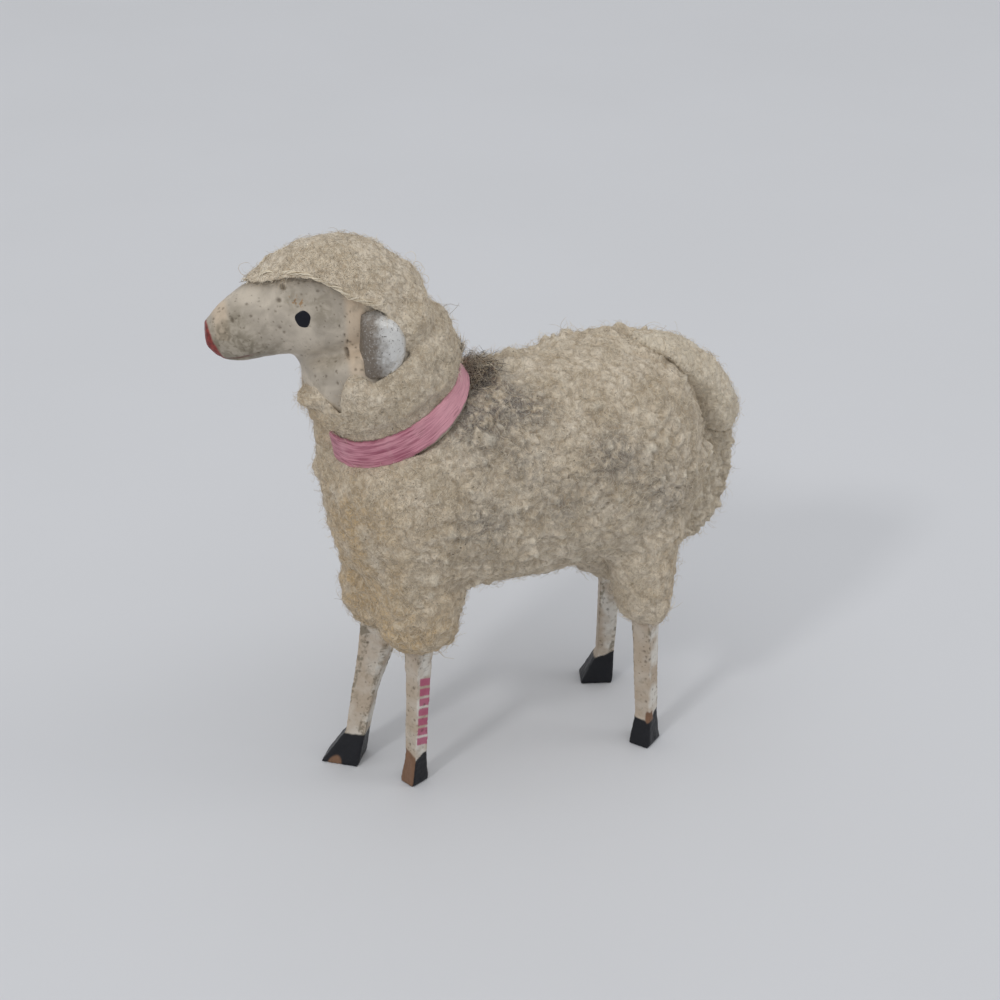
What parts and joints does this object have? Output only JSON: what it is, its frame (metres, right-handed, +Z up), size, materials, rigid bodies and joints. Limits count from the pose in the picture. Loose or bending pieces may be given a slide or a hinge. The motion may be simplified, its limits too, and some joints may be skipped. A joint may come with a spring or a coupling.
{
  "type": "wool sheep figurine",
  "caption": "Small standing sheep ornament with a painted composition head, a glued wool fleece, whittled wooden stick legs and a ribbon collar.",
  "frame": {"origin": "on the floor under the middle of the figure's bounding box, so the four soles lie on z = 0", "axes": "+Z up, -Y the way the sheep faces, +X its left side"},
  "size_m": [0.0248, 0.0668, 0.0729],
  "materials": {
    "bare_wood": "raw, unfinished softwood",
    "painted_composition": "worn satin off-white paint over gesso, pitted",
    "painted_wood": "worn off-white paint, black painted hooves",
    "fleece": "matted, knobbly undyed wool fleece",
    "ribbon": "flat woven fibre ribbon, dull pink"
  },
  "bodies": {
    "root": {"body_core": "bare_wood", "neck_dowel": "bare_wood", "head": "painted_composition", "ear_left": "painted_composition", "ear_right": "painted_composition", "leg_front_left": "painted_wood", "leg_front_right": "painted_wood", "leg_rear_left": "painted_wood", "leg_rear_right": "painted_wood", "wool_body": "fleece", "wool_neck": "fleece", "wool_cap": "fleece", "wool_leg_front_left": "fleece", "wool_leg_front_right": "fleece", "wool_leg_rear_left": "fleece", "wool_leg_rear_right": "fleece", "tail": "fleece", "rump_flap": "fleece", "collar": "ribbon"}
  },
  "joints": []
}
